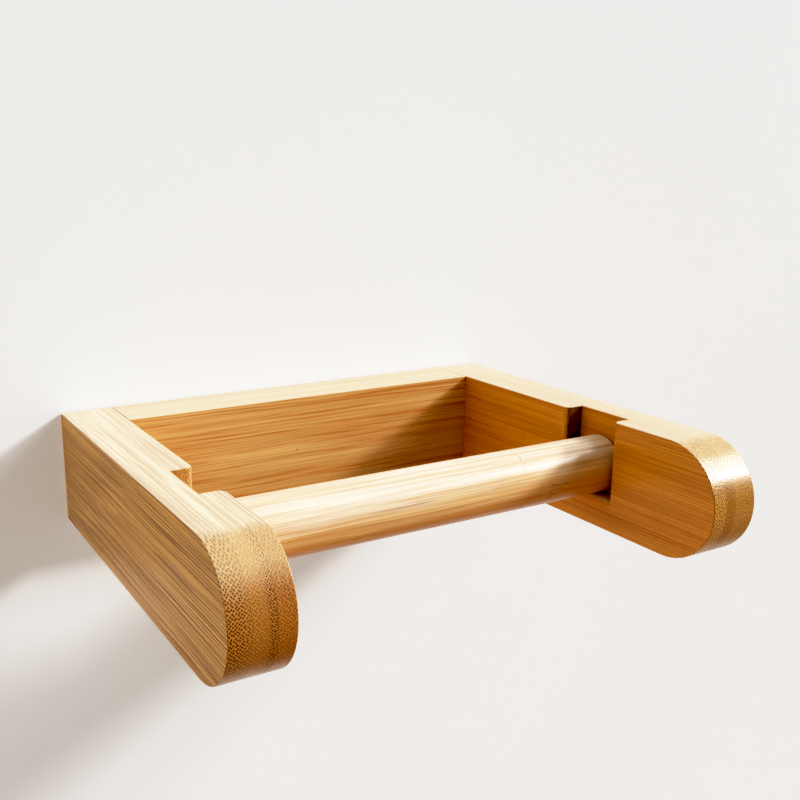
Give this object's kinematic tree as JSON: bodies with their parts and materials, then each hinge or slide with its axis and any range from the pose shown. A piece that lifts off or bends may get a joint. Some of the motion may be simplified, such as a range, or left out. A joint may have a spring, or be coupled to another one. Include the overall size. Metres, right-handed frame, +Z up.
{
  "type": "toilet paper holder",
  "caption": "Wall-mounted toilet paper holder: two round-nosed bamboo arms on a back board, with a loose round roller that lifts out of open-topped slots.",
  "frame": {"origin": "centre of the flat rear face that lies against the wall", "axes": "+X to the right along the roller, +Y into the wall, +Z up; the arms reach out towards -Y"},
  "size_m": [0.176, 0.145, 0.0384],
  "materials": {
    "bamboo_arm": "satin clear lacquer",
    "bamboo_board": "satin clear lacquer",
    "bamboo_roller": "satin clear lacquer",
    "beech_pin": "unfinished",
    "zinc_plate": "zinc plated",
    "screw_steel": "zinc plated"
  },
  "bodies": {
    "holder": {"back_board": "bamboo_board", "left_arm": "bamboo_arm", "right_arm": "bamboo_arm", "left_hanger": "zinc_plate", "right_hanger": "zinc_plate", "left_upper_pin": "beech_pin", "left_lower_pin": "beech_pin", "right_upper_pin": "beech_pin", "right_lower_pin": "beech_pin", "left_outer_screw": "screw_steel", "left_inner_screw": "screw_steel", "right_inner_screw": "screw_steel", "right_outer_screw": "screw_steel"},
    "roller": {"roller": "bamboo_roller"}
  },
  "joints": [
    {"name": "roller_lift", "type": "slide", "parent": "holder", "child": "roller", "axis": [0, 0, 1], "range_m": [0, 0.045]}
  ]
}
